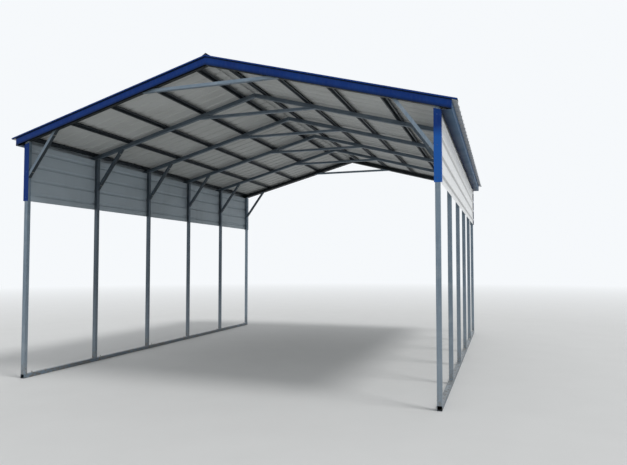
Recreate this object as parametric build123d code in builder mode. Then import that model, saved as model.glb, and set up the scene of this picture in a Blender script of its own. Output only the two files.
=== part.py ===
"""An open steel carport: six braced tube frames on two base rails, lengthwise purlins, a ribbed
sheet roof with ridge cap and boxed eaves, and a strip of ribbed sheet under each eave.

Millimetres. X runs across the carport, Y along it with the front at -Y, Z up from the ground.
The origin lies on the ground in the middle of the plan.
"""
from build123d import *
import os
from math import atan, ceil, copysign, cos, hypot, sin

# The frames: two posts and a pair of rafters each, all of the same square tube
frame_width = 6450.0          # over the outer faces of the posts
frame_count = 6
frame_spacing = 1524.0        # 5 ft, centre to centre
eave_height = 3690.0          # ground to the rafter's underside at the post's outer face
roof_pitch = 3.25 / 12.0      # rise over run
tube_size = 63.5              # 2 1/2 in square tube
tube_wall = 2.1
tube_corner = 5.0             # outside radius of the tube's corners
weld_gap = 0.3                # seam between the two rafters at the ridge

# Braces: an upright channel across each peak, and one in each corner of post and rafter
brace_width = 57.0
brace_depth = 44.0
brace_wall = 2.1
peak_brace_half = 914.0       # centre line to where the brace's upper edge meets the rafter
knee_drop = 545.0             # down the post, from the rafter's corner to the knee's centre line
knee_run = 500.0              # in from the post to where the knee's centre line meets the rafter

# Anchor holes through the base rails, one beside each post
anchor_hole_radius = 7.0
anchor_offset = 150.0         # from the post's centre, towards the middle of the carport

# Purlins: hat channels, open side down, laid along the carport on the rafters
purlins_per_slope = 5         # the last one over the posts
purlin_from_ridge = 206.0     # along the slope to the first purlin
hat_height = 38.1             # 1 1/2 in
hat_top = 38.0
hat_base = 64.0               # between the feet of the two legs
hat_flange = 22.0
hat_wall = 1.2

# Ribbed sheets: a flat pan with a trapezoid rib every 9 in
sheet_thickness = 1.0
sheet_pitches = 4             # a sheet covers 3 ft, four rib pitches
rib_pitch = 228.6
rib_height = 19.0
rib_base = 63.0
rib_top = 19.0
lap_foot = 14.0               # pan left beside the rib that the sheet before laps over
lap_lip = 8.0                 # pan of the upper sheet beyond the lapped rib
lap_clearance = 0.3
ridge_opening = 30.0          # from the ridge down the slope to the sheets' upper ends
gable_overhang = 40.0         # end frame's outer face to the ends of the sheets and purlins
sheet_drip = 40.0             # how far the sheets run past the eave trim, along the slope
panel_height = 914.0          # the sheet under each eave
panel_clearance = 10.0        # from the panel's top edge to the rafters

# Folded trims
trim_thickness = 1.0
eave_overhang = 150.0         # post's outer face to the eave trim's outer face
eave_trim_leg = 60.0          # part of the eave trim that lies under the sheets
eave_trim_drop = 14.0         # below the rafter's end, where the soffit starts
gable_trim_lap = 12.0         # how far its leg reaches past the crest of the first rib
gable_trim_drop = 2.0         # below the rafter
gable_trim_nose = 20.0        # how far the lip stands out from the face
gable_trim_lip = 18.0
gable_trim_hem = 5.0
cap_wing = 90.0               # ridge to the cap's lower edge, along the slope
cap_flat = 30.0               # part of the wing that lies on the ribs
cap_rise = 34.0               # extra height of the cap's fold over a plain V
corner_trim_front = 95.0      # from the panel's ribs in across the post
corner_trim_side = 60.0
corner_trim_overlap = 6.0     # below the panel's lower edge
corner_trim_top = 30.0        # from the rafter's underside down to its upper end
trim_gap = 0.3

# Places that follow from the sizes above
half_width = frame_width / 2
post_x = half_width - tube_size / 2
post_inner_x = half_width - tube_size
frame_length = (frame_count - 1) * frame_spacing + tube_size
front_y = -frame_length / 2
roof_length = frame_length + 2 * gable_overhang
gable_y = -roof_length / 2
frame_ys = [(k - (frame_count - 1) / 2) * frame_spacing for k in range(frame_count)]
ridge_z = eave_height + roof_pitch * half_width
slope = atan(roof_pitch)
downhill = Vector(cos(slope), 0, -sin(slope))
skyward = Vector(sin(slope), 0, cos(slope))
lengthwise = Vector(0, 1, 0)
eave_x = half_width + eave_overhang
rafter_end_x = eave_x - trim_thickness
slope_length = eave_x / cos(slope)
panel_face = half_width + rib_height + sheet_thickness
purlin_spacing = (post_x / cos(slope) - purlin_from_ridge) / (purlins_per_slope - 1)

# Heights above the rafter's underside, square to the slope
purlin_seat = tube_size
pan_seat = purlin_seat + hat_height
rib_crest = pan_seat + rib_height + sheet_thickness
lap_lift = sheet_thickness + lap_clearance
cap_seat = rib_crest + max(lap_lift, trim_thickness + trim_gap)


def on_slope(down, up, y=0.0):
    """The point that lies down the right slope from the ridge and up from the rafter's underside."""
    ridge = Vector(0, y, ridge_z)
    return ridge + downhill * down + skyward * up


def across_slope(down, up, y=0.0):
    """Plane square to the downhill direction: local x lengthwise, local y up from the slope."""
    return Plane(origin=on_slope(down, up, y), x_dir=lengthwise, z_dir=downhill)


def along_carport(down, up):
    """Plane square to the carport's length: local x downhill, local y up from the slope."""
    return Plane(origin=on_slope(down, up), x_dir=downhill, z_dir=-lengthwise)


def underside_plane(up=0.0):
    """Plane of the right rafters' underside, raised or sunk square to the slope."""
    return Plane(origin=on_slope(0, up), x_dir=lengthwise, z_dir=skyward)


def offset_line(points, distance):
    """The open line moved to its left by the distance, with mitred corners."""
    normals = []
    for (x0, y0), (x1, y1) in zip(points, points[1:]):
        length = hypot(x1 - x0, y1 - y0)
        normals.append(((y0 - y1) / length, (x1 - x0) / length))
    moved = []
    for index, (x, y) in enumerate(points):
        ax, ay = normals[max(index - 1, 0)]
        bx, by = normals[min(index, len(normals) - 1)]
        reach = distance / (1 + ax * bx + ay * by)
        moved.append((x + (ax + bx) * reach, y + (ay + by) * reach))
    return moved


def folded_section(points, thickness):
    """Section of a sheet whose one face follows the points and whose thickness lies to their left."""
    corners = list(points) + offset_line(points, thickness)[::-1]
    with BuildLine() as outline:
        Polyline(*corners, close=True)
    make_face(outline.edges())


def tube_section():
    """Square ring of the frame's tube, rounded outside and left sharp in the bore."""
    bore = tube_size - 2 * tube_wall
    RectangleRounded(tube_size, tube_size, tube_corner)
    Rectangle(bore, bore, mode=Mode.SUBTRACT)


def channel_section():
    """Brace channel with its web down, centred on the brace's middle line."""
    half = brace_width / 2
    low = -brace_depth / 2
    high = brace_depth / 2
    folded_section([(-half, high), (-half, low), (half, low), (half, high)], brace_wall)


def rib_line(centre):
    """Underside of one rib with its feet, from left to right."""
    base = rib_base / 2
    crest = rib_top / 2
    return [
        (centre - base, 0),
        (centre - crest, rib_height),
        (centre + crest, rib_height),
        (centre + base, 0),
    ]


def rib_centres(width):
    """Places of the ribs on a width of sheeting, evenly set about its middle."""
    count = int((width - rib_base) // rib_pitch) + 1
    first = (width - (count - 1) * rib_pitch) / 2
    return [first + k * rib_pitch for k in range(count)]


def save(builder, node):
    """Names the finished piece and writes it."""
    builder.part.label = node
    export_step(builder.part, f"parts/{node}.step")


def save_pair(builder, stem):
    """Writes the right-hand piece and its mirror image on the left."""
    save(builder, f"{stem}_right")
    with BuildPart() as left:
        mirror(builder.part, about=Plane.YZ)
    save(left, f"{stem}_left")


os.makedirs("parts", exist_ok=True)

# Base rails, one under each row of posts, hollow and open at both ends
with BuildPart() as base_rail:
    with BuildSketch(Plane(origin=(post_x, 0, tube_size / 2), x_dir=(1, 0, 0), z_dir=-lengthwise)):
        tube_section()
    extrude(amount=frame_length / 2, both=True)
    with BuildSketch(Plane.XY):
        with Locations([(post_x, y - copysign(anchor_offset, y)) for y in frame_ys]):
            Circle(anchor_hole_radius)
    extrude(amount=tube_size, mode=Mode.SUBTRACT)
save_pair(base_rail, "base_rail")

# Posts, standing on the rails and cut to the slope under the rafters
for number, y in enumerate(frame_ys, start=1):
    with BuildPart() as post:
        with BuildSketch(Plane((post_x, y, tube_size))):
            tube_section()
        extrude(amount=ridge_z)
        split(bisect_by=underside_plane(), keep=Keep.BOTTOM)
    save_pair(post, f"post_{number}")

# Rafter pairs, mitred at the ridge and run on past the posts to carry the boxed eaves
for number, y in enumerate(frame_ys, start=1):
    with BuildPart() as rafters:
        with BuildSketch(across_slope(0, tube_size / 2, y)):
            tube_section()
        extrude(amount=slope_length + tube_size, both=True)
        split(bisect_by=Plane.YZ.offset(weld_gap / 2), keep=Keep.TOP)
        split(bisect_by=Plane.YZ.offset(rafter_end_x), keep=Keep.BOTTOM)
        mirror(about=Plane.YZ)
    save(rafters, f"rafters_{number}")

# Peak braces, level channels with their ends cut to fit under both rafters
peak_brace_top = ridge_z - roof_pitch * peak_brace_half
for number, y in enumerate(frame_ys, start=1):
    with BuildPart() as peak_brace:
        middle = (0, y, peak_brace_top - brace_depth / 2)
        with BuildSketch(Plane(origin=middle, x_dir=lengthwise, z_dir=(1, 0, 0))):
            channel_section()
        extrude(amount=half_width)
        split(bisect_by=underside_plane(), keep=Keep.BOTTOM)
        mirror(about=Plane.YZ)
    save(peak_brace, f"peak_brace_{number}")

# Knee braces, one in each corner of post and rafter, with the web towards the parking space
knee_foot = Vector(post_inner_x, 0, eave_height + roof_pitch * tube_size - knee_drop)
knee_head_x = post_inner_x - knee_run
knee_head = Vector(knee_head_x, 0, ridge_z - roof_pitch * knee_head_x)
knee_line = knee_head - knee_foot
with BuildPart() as knee_braces:
    for y in frame_ys:
        middle = (knee_foot + knee_head) / 2 + lengthwise * y
        with BuildSketch(Plane(origin=middle, x_dir=lengthwise, z_dir=-knee_line)):
            channel_section()
        extrude(amount=knee_line.length, both=True)
    split(bisect_by=Plane.YZ.offset(post_inner_x), keep=Keep.BOTTOM)
    split(bisect_by=underside_plane(), keep=Keep.BOTTOM)
save_pair(knee_braces, "knee_braces")

# Purlins, on top of the rafters and run on past the end frames to the gable trims
hat_line = [
    (-hat_base / 2 - hat_flange, 0),
    (-hat_base / 2, 0),
    (-hat_top / 2, hat_height - hat_wall),
    (hat_top / 2, hat_height - hat_wall),
    (hat_base / 2, 0),
    (hat_base / 2 + hat_flange, 0),
]
with BuildPart() as purlins:
    for k in range(purlins_per_slope):
        with BuildSketch(along_carport(purlin_from_ridge + k * purlin_spacing, purlin_seat)):
            folded_section(hat_line, hat_wall)
        extrude(amount=roof_length / 2, both=True)
save_pair(purlins, "purlins")

# Roof sheets, ribs down the slope, each lapped over the first rib of the next
roof_ribs = rib_centres(roof_length)
sheet_count = ceil((len(roof_ribs) - 1) / sheet_pitches)
with BuildPart() as roof_sheets:
    for k in range(sheet_count):
        ribs = roof_ribs[k * sheet_pitches:(k + 1) * sheet_pitches + 1]
        is_first = k == 0
        is_last = k == sheet_count - 1
        start = 0 if is_first else ribs[0] - rib_base / 2 - lap_foot
        line = [(start, 0)]
        for rib in ribs if is_last else ribs[:-1]:
            line += rib_line(rib)
        if is_last:
            line += [(roof_length, 0)]
        else:
            foot = ribs[-1] - rib_base / 2 - lap_foot - lap_lift
            lip = ribs[-1] + rib_base / 2 + lap_lip
            line += [(foot - lap_lift, 0)]
            line += offset_line([(foot, 0)] + rib_line(ribs[-1]) + [(lip, 0)], lap_lift)
        with BuildSketch(across_slope(ridge_opening, pan_seat, gable_y)):
            folded_section(line, sheet_thickness)
        extrude(amount=slope_length + sheet_drip - ridge_opening)
save_pair(roof_sheets, "roof_sheets")

# Side panels, one sheet high, ribs lengthwise, on the outside of the posts
panel_top = eave_height - panel_clearance
panel_bottom = panel_top - panel_height
panel_line = [(0, 0)]
for rib in rib_centres(panel_height):
    panel_line += rib_line(rib)
panel_line += [(panel_height, 0)]
panel_base = (half_width, 0, panel_bottom)
with BuildPart() as side_panel:
    with BuildSketch(Plane(origin=panel_base, x_dir=(0, 0, 1), z_dir=lengthwise)):
        folded_section(panel_line, sheet_thickness)
    extrude(amount=frame_length / 2, both=True)
save_pair(side_panel, "side_panel")

# Ridge cap, folded along the middle and lying on the ribs of both slopes
cap_edge = on_slope(cap_wing, cap_seat)
cap_bend = on_slope(cap_wing - cap_flat, cap_seat)
cap_apex_z = ridge_z + cap_seat / cos(slope) + cap_rise
cap_line = [
    (-cap_edge.X, cap_edge.Z),
    (-cap_bend.X, cap_bend.Z),
    (0, cap_apex_z),
    (cap_bend.X, cap_bend.Z),
    (cap_edge.X, cap_edge.Z),
]
with BuildPart() as ridge_cap:
    with BuildSketch(Plane.XZ):
        folded_section(cap_line, trim_thickness)
    extrude(amount=roof_length / 2 + trim_thickness, both=True)
save(ridge_cap, "ridge_cap")

# Gable trims, folded over the sheet ends, with a nose at the top and a hem below the rafter.
# The face stops at the eave trim, and the nose and leg run on to the sheets' lower corner.
gable_trim_leg = roof_ribs[0] + rib_top / 2 + gable_trim_lap
nose_line = [
    (0, rib_crest - gable_trim_lip),
    (-gable_trim_nose, rib_crest - gable_trim_lip),
    (-gable_trim_nose, rib_crest),
    (gable_trim_leg, rib_crest),
]
gable_line = [
    (-gable_trim_hem, -gable_trim_drop - gable_trim_hem),
    (0, -gable_trim_drop),
] + nose_line
with BuildPart() as gable_trim:
    with BuildSketch(across_slope(-tube_size, 0, gable_y)):
        folded_section(gable_line, trim_thickness)
    extrude(amount=slope_length + 2 * tube_size)
    split(bisect_by=Plane.YZ.offset(eave_x), keep=Keep.BOTTOM)
    with BuildSketch(across_slope(0, 0, gable_y)):
        folded_section(nose_line, trim_thickness)
    extrude(amount=slope_length + sheet_drip)
    split(bisect_by=Plane.YZ.offset(trim_gap / 2), keep=Keep.TOP)
save_pair(gable_trim, "gable_trim_front")
with BuildPart() as rear_gable_trim:
    mirror(gable_trim.part, about=Plane.XZ)
save_pair(rear_gable_trim, "gable_trim_rear")

# Eave trims, hung under the sheets on the ends of the rafters, each with a level soffit that
# closes the eave as far as the side panel
pan_z = ridge_z + pan_seat / cos(slope)
fascia_x = rafter_end_x
fascia_top = pan_z - roof_pitch * fascia_x - trim_thickness / cos(slope)
fascia_bottom = ridge_z - roof_pitch * fascia_x - eave_trim_drop
leg_x = fascia_x - eave_trim_leg
soffit_x = panel_face + trim_thickness + trim_gap
eave_line = [
    (leg_x, fascia_top + roof_pitch * eave_trim_leg),
    (fascia_x, fascia_top),
    (fascia_x, fascia_bottom),
    (soffit_x, fascia_bottom),
]
with BuildPart() as eave_trim:
    with BuildSketch(Plane.XZ):
        folded_section(eave_line, trim_thickness)
    extrude(amount=roof_length / 2, both=True)
save_pair(eave_trim, "eave_trim")

# Corner trims, folded round the panel's end onto the front face of the post
corner_line = [
    (panel_face - corner_trim_front, front_y),
    (panel_face, front_y),
    (panel_face, front_y + corner_trim_side),
]
with BuildPart() as corner_trim:
    with BuildSketch(Plane.XY.offset(panel_bottom - corner_trim_overlap)):
        folded_section(corner_line, -trim_thickness)
    extrude(amount=panel_height + corner_trim_front)
    split(bisect_by=underside_plane(-corner_trim_top), keep=Keep.BOTTOM)
save_pair(corner_trim, "corner_trim_front")
with BuildPart() as rear_corner_trim:
    mirror(corner_trim.part, about=Plane.XZ)
save_pair(rear_corner_trim, "corner_trim_rear")
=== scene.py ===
import bpy
import numpy as np
from mathutils import Matrix, Vector


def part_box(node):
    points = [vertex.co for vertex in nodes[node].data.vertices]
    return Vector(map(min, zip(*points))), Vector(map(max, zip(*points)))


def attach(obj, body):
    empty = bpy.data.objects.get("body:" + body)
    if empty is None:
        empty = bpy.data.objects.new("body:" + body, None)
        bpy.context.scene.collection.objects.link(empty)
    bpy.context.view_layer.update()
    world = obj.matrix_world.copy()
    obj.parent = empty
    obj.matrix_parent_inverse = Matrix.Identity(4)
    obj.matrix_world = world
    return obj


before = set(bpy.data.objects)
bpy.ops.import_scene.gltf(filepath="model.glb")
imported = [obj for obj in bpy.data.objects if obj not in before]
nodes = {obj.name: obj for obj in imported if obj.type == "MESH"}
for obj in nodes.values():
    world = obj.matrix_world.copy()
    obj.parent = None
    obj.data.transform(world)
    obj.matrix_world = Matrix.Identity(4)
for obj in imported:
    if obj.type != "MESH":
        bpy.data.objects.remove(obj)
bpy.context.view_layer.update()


# Base rails: square tube of zinc-coated steel laid flat on the ground, one under each row of
# posts, rolled from strip and open at both ends. The zinc is left bare, so it shows its faint
# cells, streaks along the strip, pale bloom, and dirt splashed up from the ground. Its top carries
# a painted highlight, and the left rail a painted shade under the roof.
zinc_tone = (0.215, 0.275, 0.335, 1.0)
zinc_shade = (0.135, 0.175, 0.215, 1.0)
# Pale zinc bloom in patches, also the colour of the painted light on top and towards the foot.
zinc_bloom_and_light = (0.36, 0.41, 0.45, 1.0)
# Colour of the painted shade laid over the zinc.
painted_zinc_shade = (0.022, 0.027, 0.031, 1.0)
ground_dirt = (0.20, 0.165, 0.125, 1.0)
zinc_metallic = 0.82
zinc_cells_per_metre = 110.0
zinc_streaks_per_metre = 75.0
zinc_bloom_per_metre = 5.0
zinc_relief = 0.0004
streak_squeeze = 0.05         # how far a streak's pattern is drawn out along the strip
splash_per_metre = 22.0
splash_height = 0.30
middle_shade_half = 2.8          # from the middle to where the painted shade of the inner frames turns to that of the end frames
middle_shade_fade = 0.5
low_height = 1.5
# Share of the painted shade that is left at the ground.
low_shade_level = 0.35
rail_top_highlight = 0.8


def add(tree, kind, wires=None, **settings):
    """A node with its settings, and its sockets wired to others or set to a plain value."""
    node = tree.nodes.new(kind)
    for setting, value in settings.items():
        setattr(node, setting, value)
    for socket, value in (wires or {}).items():
        if isinstance(value, bpy.types.NodeSocket):
            tree.links.new(value, node.inputs[socket])
        else:
            node.inputs[socket].default_value = value
    return node


def new_finish(name, metallic):
    """A finish with its node tree, its shader and the place on the piece, in metres."""
    finish = bpy.data.materials.new(name)
    finish.use_nodes = True
    tree = finish.node_tree
    shader = tree.nodes["Principled BSDF"]
    shader.inputs["Metallic"].default_value = metallic
    place = add(tree, "ShaderNodeTexCoord").outputs["Object"]
    return finish, tree, shader, place


def mottle(tree, place, per_metre, stretch=(1.0, 1.0, 1.0), detail=3.0):
    """Soft chance pattern from 0 to 1, with so many waves to the metre, drawn out by the stretch."""
    drawn = add(tree, "ShaderNodeMapping", {"Vector": place, "Scale": stretch}).outputs["Vector"]
    return add(tree, "ShaderNodeTexNoise", {"Vector": drawn, "Scale": per_metre, "Detail": detail}).outputs[0]


def spread(tree, value, low, high, start=0.0, end=1.0):
    """The value carried in a straight line from low..high to start..end and held there outside it."""
    limits = {"Value": value, "From Min": low, "From Max": high, "To Min": start, "To Max": end}
    return add(tree, "ShaderNodeMapRange", limits).outputs["Result"]


def work_out(tree, operation, first, second):
    """One step of arithmetic on two values."""
    return add(tree, "ShaderNodeMath", {0: first, 1: second}, operation=operation).outputs[0]


def blend(tree, share, under, over):
    """The colour under, covered by the colour over as far as the share says."""
    return add(tree, "ShaderNodeMix", {0: share, 6: under, 7: over}, data_type="RGBA").outputs[2]


def looking_up(tree):
    """How far the face looks up: 1 straight up, 0 upright and -1 straight down."""
    direction = add(tree, "ShaderNodeNewGeometry").outputs["Normal"]
    return add(tree, "ShaderNodeSeparateXYZ", {"Vector": direction}).outputs["Z"]


def raise_surface(tree, shader, height, depth, strength):
    """Lets the height pattern stand up from the surface by the depth, in metres."""
    bump = add(tree, "ShaderNodeBump", {"Height": height, "Distance": depth, "Strength": strength})
    tree.links.new(bump.outputs["Normal"], shader.inputs["Normal"])


def zinc_finish(name, strip_run, end_shade=0.0, inner_shade=0.0, underside_shade=0.0, top_highlight=0.0,
                foot_light=0.0):
    """Bare zinc coating. The tone is shaded cell by cell and along the strip, with pale bloom in
    patches, a painted highlight on top and painted light towards the foot, all under a dark painted
    shade that thins towards the ground: one share of it on the end frames, another on the frames
    between, and another on faces that look down. Dirt fades out up to the splash height above the
    ground."""
    finish, tree, shader, place = new_finish(name, zinc_metallic)
    cells = add(tree, "ShaderNodeTexVoronoi", {"Vector": place, "Scale": zinc_cells_per_metre})
    cell_shade = add(tree, "ShaderNodeSeparateColor", {"Color": cells.outputs["Color"]}).outputs["Red"]
    along = tuple(streak_squeeze if run else 1.0 for run in strip_run)
    streaks = mottle(tree, place, zinc_streaks_per_metre, along, 2.0)
    bloom = mottle(tree, place, zinc_bloom_per_metre, detail=6.0)
    darkness = work_out(tree, "ADD", spread(tree, cell_shade, 0.0, 1.0, 0.0, 0.22),
                        spread(tree, streaks, 0.35, 0.7, 0.0, 0.45))
    colour = blend(tree, darkness, zinc_tone, zinc_shade)
    colour = blend(tree, spread(tree, bloom, 0.52, 0.75, 0.0, 0.55), colour, zinc_bloom_and_light)
    upward = looking_up(tree)
    # Painted highlight on faces that look up.
    colour = blend(tree, spread(tree, upward, 0.5, 0.9, 0.0, top_highlight), colour, zinc_bloom_and_light)
    spot = add(tree, "ShaderNodeSeparateXYZ", {"Vector": place})
    # Painted light towards the foot.
    low = spread(tree, spot.outputs["Z"], 0.1, low_height, foot_light, 0.0)
    colour = blend(tree, low, colour, zinc_bloom_and_light)
    # Painted shade: one share on the inner frames and one on the end frames, thinning towards the ground and
    # strongest on faces that look down.
    from_middle = work_out(tree, "ABSOLUTE", spot.outputs["Y"], 0.0)
    shade_share = spread(tree, from_middle, middle_shade_half, middle_shade_half + middle_shade_fade, inner_shade, end_shade)
    shade_share = work_out(tree, "MULTIPLY", shade_share, spread(tree, spot.outputs["Z"], 0.0, low_height, low_shade_level, 1.0))
    shade_share = work_out(tree, "MAXIMUM", shade_share, spread(tree, upward, -0.5, -0.2, underside_shade, 0.0))
    colour = blend(tree, shade_share, colour, painted_zinc_shade)
    splash = work_out(tree, "MULTIPLY", spread(tree, spot.outputs["Z"], 0.0, splash_height, 0.85, 0.0),
                      spread(tree, mottle(tree, place, splash_per_metre, detail=5.0), 0.4, 0.65))
    colour = blend(tree, splash, colour, ground_dirt)
    tree.links.new(colour, shader.inputs["Base Color"])
    dull = work_out(tree, "ADD", spread(tree, bloom, 0.4, 0.75, 0.40, 0.58),
                    spread(tree, streaks, 0.3, 0.7, 0.0, 0.08))
    tree.links.new(work_out(tree, "MAXIMUM", dull, splash), shader.inputs["Roughness"])
    raise_surface(tree, shader, work_out(tree, "ADD", cell_shade, streaks), zinc_relief, 0.35)
    return finish


def dress(finish, names):
    """Gives the finish to CAD nodes through their material slots."""
    for name in names:
        for place in nodes[name].material_slots:
            place.material = finish


# Painted shade: much more on the left rail than on the right.
for side, shade_share in (("left", 0.9), ("right", 0.2)):
    rail_zinc = zinc_finish(f"rail_zinc_{side}", (0, 1, 0), inner_shade=shade_share, top_highlight=rail_top_highlight)
    dress(rail_zinc, [f"base_rail_{side}"])


# Anchors: a zinc-plated stud through each hole of the rails, with a round washer and a hexagon
# nut run down on the top of the tube.
plated_tone = (0.50, 0.50, 0.48, 1.0)
plated_yellowed = (0.36, 0.34, 0.29, 1.0)
anchor_from_post = 0.150
anchor_steps = 24
anchor_profile = [
    # height, radius or half width over the flats, 1 for a hexagon
    (0.0000, 0.0160, 0),
    (0.0022, 0.0160, 0),
    (0.0028, 0.0152, 0),
    (0.0028, 0.0090, 0),
    (0.0034, 0.0094, 1),
    (0.0130, 0.0094, 1),
    (0.0138, 0.0084, 0),
    (0.0138, 0.0062, 0),
    (0.0235, 0.0062, 0),
    (0.0250, 0.0045, 0),
]
nearly_upright = 0.9
chance_seed = 11
chance = np.random.default_rng(chance_seed)


def turned_fixing(profile, steps):
    """Points about the Z axis, stations by steps: the radius is round, or for a hexagon its half
    width divided by the cosine of the angle from the nearest flat."""
    angle = np.arange(steps) * 2 * np.pi / steps
    from_flat = (angle + np.pi / 6) % (np.pi / 3) - np.pi / 6
    height, radius, is_hexagon = np.array(profile, float).T[:, :, None]
    reach = radius * np.where(is_hexagon > 0, 1 / np.cos(from_flat), 1.0)
    return np.stack([reach * np.cos(angle), reach * np.sin(angle), height + 0 * angle], axis=-1)


def new_piece(name, points, faces, finish, smooth=False):
    """A piece made of its points and faces that rides with the carport."""
    mesh = bpy.data.meshes.new(name)
    mesh.from_pydata(points.reshape(-1, 3).tolist(), [], faces)
    mesh.materials.append(finish)
    if smooth:
        mesh.shade_smooth()
    piece = bpy.data.objects.new(name, mesh)
    bpy.context.scene.collection.objects.link(piece)
    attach(piece, "root")


def grid_faces(rows, columns):
    """Four-sided faces between neighbouring rows of points, each row closed round on itself."""
    start = np.arange(rows - 1)[:, None] * columns
    here = np.arange(columns)
    following = (here + 1) % columns
    corners = [start + here, start + following, start + columns + following, start + columns + here]
    return np.stack(corners, axis=-1).reshape(-1, 4)


def fixings(name, profile, steps, places, outward, finish):
    """Many like fixings in one mesh: each copy is its place, plus the turned points carried on
    two directions across its axis and one outward, at a chance angle about the axis."""
    points = turned_fixing(profile, steps)
    stations = len(profile)
    places = np.asarray(places, float).reshape(-1, 3)
    outward = np.broadcast_to(np.asarray(outward, float), places.shape)
    outward = outward / np.linalg.norm(outward, axis=1, keepdims=True)
    guide = np.where(np.abs(outward[:, 2:]) < nearly_upright, [[0.0, 0.0, 1.0]], [[0.0, 1.0, 0.0]])
    across = np.cross(guide, outward)
    across /= np.linalg.norm(across, axis=1, keepdims=True)
    beside = np.cross(outward, across)
    turn = chance.uniform(0, 2 * np.pi, (len(places), 1))
    first = across * np.cos(turn) + beside * np.sin(turn)
    second = beside * np.cos(turn) - across * np.sin(turn)
    axes = np.stack([first, second, outward], axis=1)
    copies = places[:, None, :] + points.reshape(-1, 3) @ axes
    offset = np.arange(len(places))[:, None, None] * stations * steps
    walls = (grid_faces(stations, steps) + offset).reshape(-1, 4)
    around = np.arange(steps)
    tops = (stations - 1) * steps + around + offset[:, 0]
    seats = around[::-1] + offset[:, 0]
    faces = walls.tolist() + tops.tolist() + seats.tolist()
    new_piece(name, copies, faces, finish)


def mill_zinc_finish(name):
    """Bright electroplated zinc of bolts and nuts, a little yellowed and dusty in patches."""
    finish, tree, shader, place = new_finish(name, metallic=0.95)
    patches = mottle(tree, place, 160.0, detail=4.0)
    tree.links.new(blend(tree, patches, plated_tone, plated_yellowed), shader.inputs["Base Color"])
    tree.links.new(spread(tree, patches, 0.2, 0.8, 0.28, 0.5), shader.inputs["Roughness"])
    raise_surface(tree, shader, mottle(tree, place, 900.0), 0.0001, 0.3)
    return finish


frame_count = 6
posts = [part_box(f"post_{n}_right") for n in range(1, frame_count + 1)]
frame_ys = np.array([(low.y + high.y) / 2 for low, high in posts])
post_x = (posts[0][0].x + posts[0][1].x) / 2
tube_size = posts[0][1].x - posts[0][0].x
half_tube = tube_size / 2
sides = np.array([-1.0, 1.0])
plated_zinc = mill_zinc_finish("plated_zinc")

anchor_ys = frame_ys - np.copysign(anchor_from_post, frame_ys)
side_grid, y_grid = np.meshgrid(sides, anchor_ys, indexing="ij")
anchor_places = np.stack([side_grid * post_x, y_grid, tube_size + 0 * y_grid], axis=-1)
fixings("rail_anchors", anchor_profile, anchor_steps, anchor_places, (0, 0, 1), plated_zinc)


# Posts: the same tube stood on the rails over short stubs and held by two self-drilling screws
# low on their inner faces. The streaks in the zinc run up them, the left row carries more painted
# shade, and all have painted light towards the foot.
screw_steps = 12
screw_profile = [
    # height, radius or half width over the flats, 1 for a hexagon
    (0.0000, 0.0070, 0),
    (0.0012, 0.0068, 0),
    (0.0018, 0.0054, 0),
    (0.0020, 0.0040, 1),
    (0.0060, 0.0040, 1),
    (0.0065, 0.0034, 0),
]
post_screw_heights = np.array([0.055, 0.105])

# Painted shade, heavier on the left row, and painted light towards the foot.
for side, shade_share in (("left", 0.62), ("right", 0.15)):
    post_zinc = zinc_finish(f"post_zinc_{side}", (0, 0, 1), inner_shade=shade_share, foot_light=0.5)
    dress(post_zinc, [f"post_{n}_{side}" for n in range(1, frame_count + 1)])

side_grid, y_grid, up_grid = np.meshgrid(sides, frame_ys, tube_size + post_screw_heights, indexing="ij")
foot_places = np.stack([side_grid * (post_x - half_tube), y_grid, up_grid], axis=-1).reshape(-1, 3)
along_x = np.array([1.0, 0.0, 0.0])
foot_outward = -np.sign(foot_places[:, :1]) * along_x
fixings("post_foot_screws", screw_profile, screw_steps, foot_places, foot_outward, plated_zinc)


# Rafters: the tube again, two to a frame, cut to a mitre and welded at the ridge. The weld bead
# is brushed over with zinc paint. Each post is welded under its rafter in the same way.
roof_pitch = 3.25 / 12
slope = np.arctan(roof_pitch)
ridge_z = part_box("rafters_1")[1].z - tube_size / np.cos(slope)
bead_radius = 0.0032
bead_ripples = 34
bead_ripple_share = 0.16
bead_points = 136
bead_sides = 8
square_power = 12             # the higher, the sharper the corners of the path round a tube
cold_zinc_tone = (0.24, 0.27, 0.29, 1.0)
cold_zinc_shade = (0.15, 0.17, 0.185, 1.0)
rust_speck = (0.17, 0.062, 0.025, 1.0)

rafter_names = [f"rafters_{n}" for n in range(1, frame_count + 1)]
# Painted shade on the rafters: full on the end frames, less on the frames between.
dress(zinc_finish("rafter_zinc", (1, 0, 0), end_shade=1.0, inner_shade=0.42), rafter_names)


def on_roof(side, down, up, y):
    """Points on the roof: from the ridge down the slope, and up square to it from the rafters'
    underside, on the left (-1) or right (+1), at y along the carport."""
    side, down, up, y = np.broadcast_arrays(side, down, up, y)
    x = side * (down * np.cos(slope) + up * np.sin(slope))
    z = ridge_z - down * np.sin(slope) + up * np.cos(slope)
    return np.stack([x, y, z], axis=-1).reshape(-1, 3)


def roof_outward(points):
    """Direction square to the roof at the points, away from the carport."""
    side = np.sign(points[:, 0])
    return np.stack([side * np.sin(slope), 0 * side, np.cos(slope) + 0 * side], axis=-1)


def square_path(count):
    """Closed path about a square tube: half its width over the twelfth root of cos^12 + sin^12."""
    angle = np.arange(count) * 2 * np.pi / count
    rounded = (np.cos(angle) ** square_power + np.sin(angle) ** square_power) ** (1 / square_power)
    reach = half_tube / rounded
    return angle, reach * np.cos(angle), reach * np.sin(angle)


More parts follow.
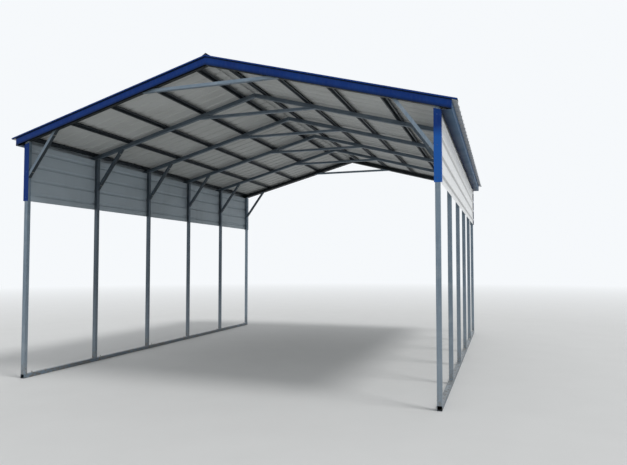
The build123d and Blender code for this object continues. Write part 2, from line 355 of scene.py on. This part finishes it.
def weld_beads(name, middles, first, second, axis):
    """Beads round square tubes: a small circle carried along the square path on the first and
    second directions, its radius rising and falling from one ripple to the next."""
    angle, along_first, along_second = square_path(bead_points)
    path = along_first[:, None] * first + along_second[:, None] * second
    out = np.cos(angle)[:, None] * first + np.sin(angle)[:, None] * second
    out /= np.linalg.norm(out, axis=1, keepdims=True)
    radius = bead_radius * (1 + bead_ripple_share * np.abs(np.sin(angle * bead_ripples)))
    around = np.arange(bead_sides) * 2 * np.pi / bead_sides
    ring = np.cos(around)[None, :, None] * out[:, None] - np.sin(around)[None, :, None] * axis
    bead = path[:, None] + radius[:, None, None] * ring
    bead = np.concatenate([bead, bead[:1]])
    copies = np.asarray(middles)[:, None, None] + bead
    offset = np.arange(len(middles))[:, None, None] * bead[..., 0].size
    faces = (grid_faces(bead_points + 1, bead_sides) + offset).reshape(-1, 4)
    new_piece(name, copies, faces.tolist(), cold_zinc, smooth=True)


def cold_zinc_finish(name):
    """Brushed-on zinc paint over a weld: grey with brush marks and a few rust specks."""
    finish, tree, shader, place = new_finish(name, metallic=0.55)
    brush = mottle(tree, place, 320.0, (1.0, 0.25, 1.0), 4.0)
    rust = spread(tree, mottle(tree, place, 95.0, detail=5.0), 0.62, 0.72, 0.0, 0.7)
    colour = blend(tree, brush, cold_zinc_tone, cold_zinc_shade)
    tree.links.new(blend(tree, rust, colour, rust_speck), shader.inputs["Base Color"])
    tree.links.new(spread(tree, brush, 0.2, 0.8, 0.42, 0.62), shader.inputs["Roughness"])
    raise_surface(tree, shader, brush, 0.0005, 0.5)
    return finish


cold_zinc = cold_zinc_finish("cold_zinc_paint")
along_y = np.array([0.0, 1.0, 0.0])
along_z = np.array([0.0, 0.0, 1.0])
mitre_middles = [(0.0, y, ridge_z + half_tube / np.cos(slope)) for y in frame_ys]
weld_beads("ridge_welds", mitre_middles, along_y, along_z / np.cos(slope), along_x)
for side in sides:
    name = "post_welds_left" if side < 0 else "post_welds_right"
    post_top = ridge_z - post_x * np.tan(slope) - bead_radius
    under_rafter = along_x - along_z * side * np.tan(slope)
    weld_beads(name, [(side * post_x, y, post_top) for y in frame_ys], under_rafter, along_y, along_z)


# Peak braces: channels with the web down, cut to the slope at both ends and screwed up into the
# rafters through the turned-in web.
brace_half = 0.914
brace_depth = 0.044
peak_screw_in = 0.06
screw_half_apart = 0.014

peak_brace_names = [f"peak_brace_{n}" for n in range(1, frame_count + 1)]
# A light painted shade on the peak braces.
dress(zinc_finish("peak_brace_zinc", (1, 0, 0), inner_shade=0.25), peak_brace_names)

brace_bottom = ridge_z - brace_half * np.tan(slope) - brace_depth
side_grid, y_grid, step_grid = np.meshgrid(sides, frame_ys, sides * screw_half_apart, indexing="ij")
peak_places = np.stack([side_grid * (brace_half - peak_screw_in), y_grid + step_grid,
                        brace_bottom + 0 * y_grid], axis=-1)
fixings("peak_brace_screws", screw_profile, screw_steps, peak_places, (0, 0, -1), plated_zinc)


# Knee braces: the same channel in each corner of post and rafter, cut square to the post and to
# the slope of the rafter, with two screws at each end.
knee_drop = 0.545
knee_run = 0.500
knee_end_in = 0.075

# Painted shade, more on the left, and strongest on the faces that look down.
for side, end_shade, inner_shade in (("left", 0.25, 0.50), ("right", 0.0, 0.35)):
    knee_zinc = zinc_finish(f"knee_brace_zinc_{side}", (0, 0, 1), end_shade, inner_shade, underside_shade=0.85)
    dress(knee_zinc, [f"knee_braces_{side}"])

eave_underside = ridge_z - (post_x - half_tube) * np.tan(slope)
knee_foot = np.array([post_x - half_tube, 0.0, eave_underside - knee_drop])
knee_head = np.array([post_x - half_tube - knee_run, 0.0, eave_underside + knee_run * np.tan(slope)])
knee_direction = (knee_head - knee_foot) / np.linalg.norm(knee_head - knee_foot)
knee_outward = np.array([-knee_direction[2], 0.0, knee_direction[0]])
knee_middle_line = np.array([knee_foot + knee_direction * knee_end_in,
                             knee_head - knee_direction * knee_end_in]) + knee_outward * brace_depth / 2
knee_places = knee_middle_line[None, :, None, None] + along_y * (
    frame_ys[:, None, None, None, None] + (sides * screw_half_apart)[:, None, None])
knee_places = np.broadcast_to(knee_places, (frame_count, 2, 2, 1, 3)).reshape(-1, 3)
mirror_x = np.array([-1.0, 1.0, 1.0])
fixings("knee_brace_screws", screw_profile, screw_steps,
        np.concatenate([knee_places, knee_places * mirror_x]),
        np.concatenate([knee_places * 0 + knee_outward, knee_places * 0 + knee_outward * mirror_x]),
        plated_zinc)


# Purlins: hat channels rolled from thin coated strip, open side down, laid along the carport and
# screwed through both flanges into the top of every rafter.
purlins_per_slope = 5
purlin_from_ridge = 0.206
purlin_spacing = (post_x / np.cos(slope) - purlin_from_ridge) / (purlins_per_slope - 1)
purlin_downs = purlin_from_ridge + purlin_spacing * np.arange(purlins_per_slope)
flange_screw_out = 0.043
hat_wall = 0.0012
flange_top = tube_size + hat_wall
# Painted shade that makes the purlins nearly black.
purlin_shade = 0.90

dress(zinc_finish("purlin_zinc", (0, 1, 0), end_shade=purlin_shade, inner_shade=purlin_shade),
      ["purlins_left", "purlins_right"])

side_grid, down_grid, y_grid, foot_grid = np.meshgrid(
    sides, purlin_downs, frame_ys, sides * flange_screw_out, indexing="ij")
flange_places = on_roof(side_grid, down_grid + foot_grid, flange_top, y_grid)
fixings("purlin_screws", screw_profile, screw_steps, flange_places, roof_outward(flange_places),
        plated_zinc)


# Roof sheets: thin ribbed steel with a white baked paint outside and a thin pale wash coat on
# the underside, ribs down the slope, lapped rib over rib and screwed to the purlins in the pans
# beside the ribs with painted hexagon screws on rubber washers.
sheet_paint = (0.815, 0.825, 0.83, 1.0)
sheet_dust = (0.60, 0.585, 0.55, 1.0)
rib_painted_shade = (0.33, 0.33, 0.32, 1.0)
roof_wash_coat = (0.44, 0.453, 0.446, 1.0)
roof_wash_stain = (0.38, 0.387, 0.376, 1.0)
white_screw_tone = (0.74, 0.75, 0.75, 1.0)
white_screw_chip = (0.35, 0.35, 0.34, 1.0)
rain_per_metre = 9.0
clouds_per_metre = 1.3
speckle_per_metre = 260.0
waves_per_metre = 2.6
wave_depth = 0.004
wash_coat_roughness = 0.55
baked_paint_roughness = 0.36
edge_fade = 0.004
beyond_reach = 100.0          # further out than any piece, so what starts there never does
rib_pitch = 0.2286
rib_count = 34
hat_height = 0.0381
sheet_thickness = 0.001
screw_beside_rib = 0.048


def outside_share(tree, place, outward):
    """1 on faces that look away from the carport, 0 on those that look into it: their direction
    times the outward one, which points to the face's own side across, own end along, and up."""
    side_and_end = add(tree, "ShaderNodeVectorMath", {0: place}, operation="SIGN").outputs[0]
    away = add(tree, "ShaderNodeVectorMath", {0: side_and_end, 1: outward}, operation="MULTIPLY").outputs[0]
    direction = add(tree, "ShaderNodeNewGeometry").outputs["Normal"]
    facing = add(tree, "ShaderNodeVectorMath", {0: direction, 1: away}, operation="DOT_PRODUCT")
    return spread(tree, facing.outputs["Value"], -0.01, 0.01)


def sheet_finish(name, outward, run, wash_coat, wash_stain, drip_start=beyond_reach):
    """Painted sheet: white outside with dust drawn out along the run of the rain and a painted shade
    under the ribs, a duller wash coat inside with faint stains, and the slight waves that thin sheet
    has between its ribs. Further across the carport than the drip's start, the underside is given
    the white of the outside as painted light."""
    finish, tree, shader, place = new_finish(name, metallic=0.0)
    across = add(tree, "ShaderNodeSeparateXYZ", {"Vector": place}).outputs["X"]
    # Painted light: past the drip's start the underside takes the white of the outside.
    drip = spread(tree, work_out(tree, "ABSOLUTE", across, 0.0), drip_start, drip_start + edge_fade)
    outside = work_out(tree, "MAXIMUM", outside_share(tree, place, outward), drip)
    rain = mottle(tree, place, rain_per_metre, run, 5.0)
    clouds = mottle(tree, place, clouds_per_metre, detail=4.0)
    speckle = mottle(tree, place, speckle_per_metre, detail=2.0)
    dust = work_out(tree, "MULTIPLY", spread(tree, rain, 0.45, 0.75),
                    spread(tree, clouds, 0.3, 0.7, 0.15, 0.6))
    top = blend(tree, dust, sheet_paint, sheet_dust)
    # Painted shade on faces that look down, under the ribs.
    top = blend(tree, spread(tree, looking_up(tree), -0.7, -0.4, 0.6, 0.0), top, rib_painted_shade)
    stain = work_out(tree, "MULTIPLY", spread(tree, clouds, 0.42, 0.68),
                     spread(tree, rain, 0.3, 0.7, 0.35, 0.9))
    under = blend(tree, stain, wash_coat, wash_stain)
    under = blend(tree, spread(tree, speckle, 0.55, 0.8, 0.0, 0.12), under, sheet_dust)
    tree.links.new(blend(tree, outside, under, top), shader.inputs["Base Color"])
    paint = spread(tree, outside, 0.0, 1.0, wash_coat_roughness, baked_paint_roughness)
    tree.links.new(work_out(tree, "ADD", paint, spread(tree, dust, 0.0, 1.0, 0.0, 0.25)),
                   shader.inputs["Roughness"])
    waves = mottle(tree, place, waves_per_metre, detail=1.0)
    raise_surface(tree, shader, waves, wave_depth, 0.5)
    return finish


eave_low, eave_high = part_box("eave_trim_right")
# Past the eave the roof sheets' underside is white, as painted light.
dress(sheet_finish("roof_sheet_paint", (0.0, 0.0, 1.0), (0.12, 1.0, 0.12),
                   roof_wash_coat, roof_wash_stain, drip_start=eave_high.x + edge_fade),
      ["roof_sheets_left", "roof_sheets_right"])


def painted_screw_finish(name, tone, worn):
    """Painted screw heads, chipped to bare metal here and there by the driver."""
    finish, tree, shader, place = new_finish(name, metallic=0.1)
    chips = spread(tree, mottle(tree, place, 420.0, detail=3.0), 0.58, 0.66, 0.0, 0.6)
    tree.links.new(blend(tree, chips, tone, worn), shader.inputs["Base Color"])
    tree.links.new(spread(tree, chips, 0.0, 1.0, 0.38, 0.55), shader.inputs["Roughness"])
    raise_surface(tree, shader, mottle(tree, place, 700.0), 0.0001, 0.3)
    return finish


white_screw_paint = painted_screw_finish("white_screw_paint", white_screw_tone, white_screw_chip)
rib_ys = (np.arange(rib_count) - (rib_count - 1) / 2) * rib_pitch
pan_seat = tube_size + hat_height
sheet_top = pan_seat + sheet_thickness
side_grid, down_grid, y_grid = np.meshgrid(sides, purlin_downs, rib_ys - screw_beside_rib, indexing="ij")
roof_places = on_roof(side_grid, down_grid, sheet_top, y_grid)
fixings("roof_screws", screw_profile, screw_steps, roof_places, roof_outward(roof_places),
        white_screw_paint)


# Side panels: one width of the same sheet under each eave, ribs lengthwise, white outside and
# wash-coated inside, screwed through the pans to every post.
# The wash coat inside the panels is painted darker and bluer than under the roof, as painted shade.
panel_wash_coat_shaded = (0.342, 0.402, 0.448, 1.0)
panel_wash_stain_shaded = (0.284, 0.33, 0.366, 1.0)
panel_screws_up = np.array([0.045, 0.165, 0.393, 0.622, 0.750, 0.870])

dress(sheet_finish("side_panel_paint", (1.0, 0.0, 0.0), (1.0, 1.0, 0.15),
                   panel_wash_coat_shaded, panel_wash_stain_shaded),
      ["side_panel_left", "side_panel_right"])

panel_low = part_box("side_panel_right")[0]
panel_pan_x = panel_low.x + sheet_thickness
side_grid, y_grid, up_grid = np.meshgrid(sides, frame_ys, panel_low.z + panel_screws_up, indexing="ij")
panel_places = np.stack([side_grid * panel_pan_x, y_grid, up_grid], axis=-1).reshape(-1, 3)
panel_outward = np.sign(panel_places[:, :1]) * along_x
fixings("panel_screws", screw_profile, screw_steps, panel_places, panel_outward, white_screw_paint)


# Ridge cap: blue painted sheet folded along the middle, its two wings lying on the ribs of both
# slopes and screwed down through every rib.
trim_blue = (0.0035, 0.032, 0.195, 1.0)
trim_blue_worn = (0.010, 0.070, 0.31, 1.0)
trim_blue_shaded = (0.002, 0.013, 0.05, 1.0)
trim_dust = (0.22, 0.26, 0.31, 1.0)
trim_primer = (0.085, 0.09, 0.092, 1.0)
blue_screw_chip = (0.32, 0.34, 0.36, 1.0)
cap_screw_down = 0.075
rib_height = 0.019
lap_clearance = 0.0003
trim_thickness = 0.001
nose_fade = 0.001


def blue_trim_finish(name, outward, least_worn, most_worn, inside=trim_primer, nose_start=beyond_reach,
                     light_and_shade=None, gloss=0.1):
    """Blue baked paint: worn a little lighter in patches, a deeper blue painted shade on faces that
    look down, dusty on those that look up, changed by the painted light and shade that this trim is
    given, and a dull coat inside. Further along the carport than the start of a trim's nose, every
    face counts as outside."""
    finish, tree, shader, place = new_finish(name, metallic=0.0)
    shader.inputs["Specular IOR Level"].default_value = gloss
    fade = mottle(tree, place, 3.5, detail=5.0)
    streaks = mottle(tree, place, 45.0, (1.0, 1.0, 0.3), 3.0)
    colour = blend(tree, spread(tree, fade, 0.35, 0.7, least_worn, most_worn), trim_blue, trim_blue_worn)
    upward = looking_up(tree)
    # Painted shade on faces that look down.
    colour = blend(tree, spread(tree, upward, -0.5, -0.2, 1.0, 0.0), colour, trim_blue_shaded)
    dust = work_out(tree, "MULTIPLY", spread(tree, upward, 0.3, 1.0, 0.05, 0.25),
                    spread(tree, streaks, 0.4, 0.7))
    colour = blend(tree, dust, colour, trim_dust)
    # The painted light and shade that this trim is given.
    if light_and_shade:
        colour = light_and_shade(tree, place, colour)
    along = add(tree, "ShaderNodeSeparateXYZ", {"Vector": place}).outputs["Y"]
    on_nose = spread(tree, work_out(tree, "ABSOLUTE", along, 0.0), nose_start, nose_start + nose_fade)
    painted = work_out(tree, "MAXIMUM", outside_share(tree, place, outward), on_nose)
    tree.links.new(blend(tree, painted, inside, colour), shader.inputs["Base Color"])
    tree.links.new(work_out(tree, "ADD", spread(tree, fade, 0.3, 0.7, 0.30, 0.42), dust),
                   shader.inputs["Roughness"])
    raise_surface(tree, shader, mottle(tree, place, 3.0, detail=2.0), 0.003, 0.5)
    return finish


dress(blue_trim_finish("ridge_cap_paint", (0.0, 0.0, 1.0), 0.0, 0.3, inside=roof_wash_coat),
      ["ridge_cap"])
blue_screw_paint = painted_screw_finish("blue_screw_paint", trim_blue_worn, blue_screw_chip)

rib_crest = pan_seat + rib_height + sheet_thickness
cap_top = rib_crest + sheet_thickness + lap_clearance + trim_thickness
side_grid, y_grid = np.meshgrid(sides, rib_ys, indexing="ij")
cap_places = on_roof(side_grid, cap_screw_down, cap_top, y_grid)
fixings("ridge_cap_screws", screw_profile, screw_steps, cap_places, roof_outward(cap_places),
        blue_screw_paint)


# Gable trims: blue sheet folded over the ends of the roof sheets, screwed down through the leg
# that lies on the outermost rib.
ends = ["front", "rear"]
gable_first_screw = 0.30      # from the ridge down the slope
gable_screw_spacing = 0.45
gable_screw_count = 7

gable_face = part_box("roof_sheets_right")[1].y
gable_lip = 0.018
# Depths of the painted shade under the nose and along the foot.
fold_shade_depth = 0.014
foot_shade_height = 0.035
gable_painted_shade = (0.004, 0.012, 0.030, 1.0)


def gable_shading(tree, place, colour):
    """Painted shade in the fold under the nose and along the foot, by the height over the plane of
    the rafters' undersides, square to the roof."""
    across = add(tree, "ShaderNodeVectorMath", {0: place}, operation="ABSOLUTE").outputs[0]
    square_to_roof = (np.sin(slope), 0.0, np.cos(slope))
    out = add(tree, "ShaderNodeVectorMath", {0: across, 1: square_to_roof}, operation="DOT_PRODUCT")
    height = work_out(tree, "SUBTRACT", out.outputs["Value"], ridge_z * np.cos(slope))
    fold = rib_crest - gable_lip
    in_fold = work_out(tree, "MULTIPLY", spread(tree, height, fold - fold_shade_depth, fold - fold_shade_depth / 2),
                       spread(tree, height, fold, fold + 0.002, 1.0, 0.0))
    at_foot = spread(tree, height, 0.0, foot_shade_height, 0.65, 0.0)
    return blend(tree, work_out(tree, "MAXIMUM", in_fold, at_foot), colour, gable_painted_shade)


dress(blue_trim_finish("gable_trim_paint", (0.0, 1.0, 1.0), 0.0, 0.35,
                       nose_start=gable_face + sheet_thickness, light_and_shade=gable_shading),
      [f"gable_trim_{end}_{side}" for end in ends for side in ("left", "right")])

gable_downs = gable_first_screw + gable_screw_spacing * np.arange(gable_screw_count)
side_grid, end_grid, down_grid = np.meshgrid(sides, sides, gable_downs, indexing="ij")
gable_places = on_roof(side_grid, down_grid, rib_crest + sheet_thickness, end_grid * rib_ys[-1])
fixings("gable_trim_screws", screw_profile, screw_steps, gable_places, roof_outward(gable_places),
        blue_screw_paint)


# Eave trims: blue sheet folded to box in the ends of the rafters under the lower edge of the
# roof sheets, screwed to each rafter's end. Painted shade keeps it deep blue by the wall, and
# painted light pales it outwards.
# Colour of the painted light on the outer part of the soffit and fascia.
trim_blue_lit = (0.075, 0.145, 0.235, 1.0)
# Wash coat on the back, painted darker and bluer as painted shade.
eave_back_shaded = (0.36, 0.40, 0.43, 1.0)
eave_light_start = 0.02        # out from the side panel
most_eave_light = 0.85
eave_screws_up = np.array([0.040, 0.075])


def eave_shading(tree, place, colour):
    """Painted light on the soffit and fascia that grows outwards from the side panel."""
    across = add(tree, "ShaderNodeSeparateXYZ", {"Vector": place}).outputs["X"]
    share = spread(tree, work_out(tree, "ABSOLUTE", across, 0.0), eave_low.x + eave_light_start,
                   eave_high.x, 0.0, most_eave_light)
    return blend(tree, share, colour, trim_blue_lit)


dress(blue_trim_finish("eave_trim_paint", (1.0, 0.0, -0.2), 0.3, 0.8, inside=eave_back_shaded,
                       light_and_shade=eave_shading, gloss=0.02),
      ["eave_trim_left", "eave_trim_right"])

side_grid, y_grid, up_grid = np.meshgrid(sides, frame_ys, eave_screws_up, indexing="ij")
eave_places = np.stack([side_grid * eave_high.x, y_grid, eave_low.z + up_grid], axis=-1).reshape(-1, 3)
fixings("eave_trim_screws", screw_profile, screw_steps, eave_places,
        np.sign(eave_places[:, :1]) * along_x, blue_screw_paint)


# Corner trims: blue angles folded round the ends of the side panels onto the faces of the corner
# posts, screwed to the post near the bottom, in the middle and near the top.
corner_low, corner_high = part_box("corner_trim_front_right")
# Colour of the painted sunlight on the lower part of the right trims.
trim_blue_sunlit = (0.020, 0.135, 0.50, 1.0)
fully_lit_below = 0.36     # down from the trim's top
shaded_above = 0.22
most_lit = 0.75
left_shaded = 0.85


def corner_shading(tree, place, colour):
    """Painted sunlight pales the lower part on the right, which the eave doesn't shade. Painted
    shade on the left takes most of it back to the first blue."""
    spot = add(tree, "ShaderNodeSeparateXYZ", {"Vector": place})
    unshaded = spread(tree, spot.outputs["Z"], corner_high.z - fully_lit_below,
                      corner_high.z - shaded_above, most_lit, 0.0)
    right = spread(tree, spot.outputs["X"], -1.0, 1.0)
    colour = blend(tree, spread(tree, right, 0.0, 1.0, left_shaded, 0.0), colour, trim_blue)
    return blend(tree, work_out(tree, "MULTIPLY", unshaded, right), colour, trim_blue_sunlit)


dress(blue_trim_finish("corner_trim_paint", (1.0, 1.0, 0.0), 0.1, 0.6, light_and_shade=corner_shading),
      [f"corner_trim_{end}_{side}" for end in ends for side in ("left", "right")])

corner_screws_up = np.array([0.055, 0.46, 0.84])
side_grid, end_grid, up_grid = np.meshgrid(sides, sides, corner_low.z + corner_screws_up, indexing="ij")
corner_places = np.stack([side_grid * post_x, end_grid * -corner_low.y, up_grid], axis=-1).reshape(-1, 3)
fixings("corner_trim_screws", screw_profile, screw_steps, corner_places,
        np.sign(corner_places[:, 1:2]) * along_y, blue_screw_paint)


# The studio: a wide pale floor and a white surround with soft light, strongest from high on the
# right and a little behind. Far off, the floor fades into the white of the surround. The camera
# stands as it did for the photograph.
floor_half = 90.0
fade_start = 9.0
fade_end = 38.0
seen_white = (0.95, 0.975, 1.0, 1.0)
seen_level = 0.97
surround_level = 0.60
floor_tone = (0.66, 0.66, 0.65, 1.0)
floor_paler = (0.70, 0.70, 0.69, 1.0)
floor_roughness = 0.8
key_strength = 1.25
key_softness = 0.30
key_direction = (-0.568, 0.149, -1.0)


def seen_share(tree):
    """1 for what the camera sees straight, in a reflection or through a surface, and 0 for light."""
    ray = add(tree, "ShaderNodeLightPath").outputs
    mirrored = work_out(tree, "MAXIMUM", ray["Is Glossy Ray"], ray["Is Transmission Ray"])
    return work_out(tree, "MAXIMUM", ray["Is Camera Ray"], mirrored)


floor_mesh = bpy.data.meshes.new("studio_floor")
floor_corners = np.array([(-1, -1, 0), (1, -1, 0), (1, 1, 0), (-1, 1, 0)]) * floor_half
floor_mesh.from_pydata(floor_corners.tolist(), [], [(0, 1, 2, 3)])
studio_floor = bpy.data.objects.new("studio_floor", floor_mesh)
bpy.context.scene.collection.objects.link(studio_floor)
floor_finish, tree, shader, place = new_finish("pale_floor", metallic=0.0)
floor_mottle = mottle(tree, place, 1.5, detail=4.0)
tree.links.new(blend(tree, floor_mottle, floor_tone, floor_paler), shader.inputs["Base Color"])
shader.inputs["Roughness"].default_value = floor_roughness
distance = add(tree, "ShaderNodeVectorMath", {0: place}, operation="LENGTH").outputs["Value"]
far_and_seen = work_out(tree, "MULTIPLY", spread(tree, distance, fade_start, fade_end), seen_share(tree))
glow = add(tree, "ShaderNodeEmission", {"Color": seen_white, "Strength": seen_level}).outputs[0]
faded = add(tree, "ShaderNodeMixShader", {0: far_and_seen, 1: shader.outputs[0], 2: glow}).outputs[0]
tree.links.new(faded, tree.nodes["Material Output"].inputs["Surface"])
floor_mesh.materials.append(floor_finish)

world = bpy.data.worlds.new("studio_surround")
bpy.context.scene.world = world
world.use_nodes = True
tree = world.node_tree
background = tree.nodes["Background"]
background.inputs["Color"].default_value = seen_white
surround = spread(tree, seen_share(tree), 0.0, 1.0, surround_level, seen_level)
tree.links.new(surround, background.inputs["Strength"])

key_light = bpy.data.lights.new("key_light", "SUN")
key_light.energy = key_strength
key_light.angle = key_softness
key = bpy.data.objects.new("key_light", key_light)
key.rotation_euler = Vector(key_direction).to_track_quat("-Z", "Y").to_euler()
bpy.context.scene.collection.objects.link(key)

image_width = 627
image_height = 465
focal_length_in_pixels = 539.7
lens_axis_in_image = (334.3, 241.5)
camera_place = Vector((3.935, -10.460, 1.772))
camera_yaw = np.radians(17.29)
camera_pitch = np.radians(2.33)
camera_roll = np.radians(-0.09)
camera_data = bpy.data.cameras.new("camera")
camera_data.sensor_width = 36.0
camera_data.lens = camera_data.sensor_width * focal_length_in_pixels / image_width
camera_data.shift_x = (image_width / 2 - lens_axis_in_image[0]) / image_width
camera_data.shift_y = (lens_axis_in_image[1] - image_height / 2) / image_width
camera_data.clip_end = 300.0
camera = bpy.data.objects.new("camera", camera_data)
turned = Matrix.Rotation(camera_yaw, 4, "Z") @ Matrix.Rotation(np.pi / 2 + camera_pitch, 4, "X")
camera.matrix_world = Matrix.Translation(camera_place) @ turned @ Matrix.Rotation(camera_roll, 4, "Z")
bpy.context.scene.collection.objects.link(camera)
bpy.context.scene.camera = camera
bpy.context.scene.view_settings.view_transform = "Standard"
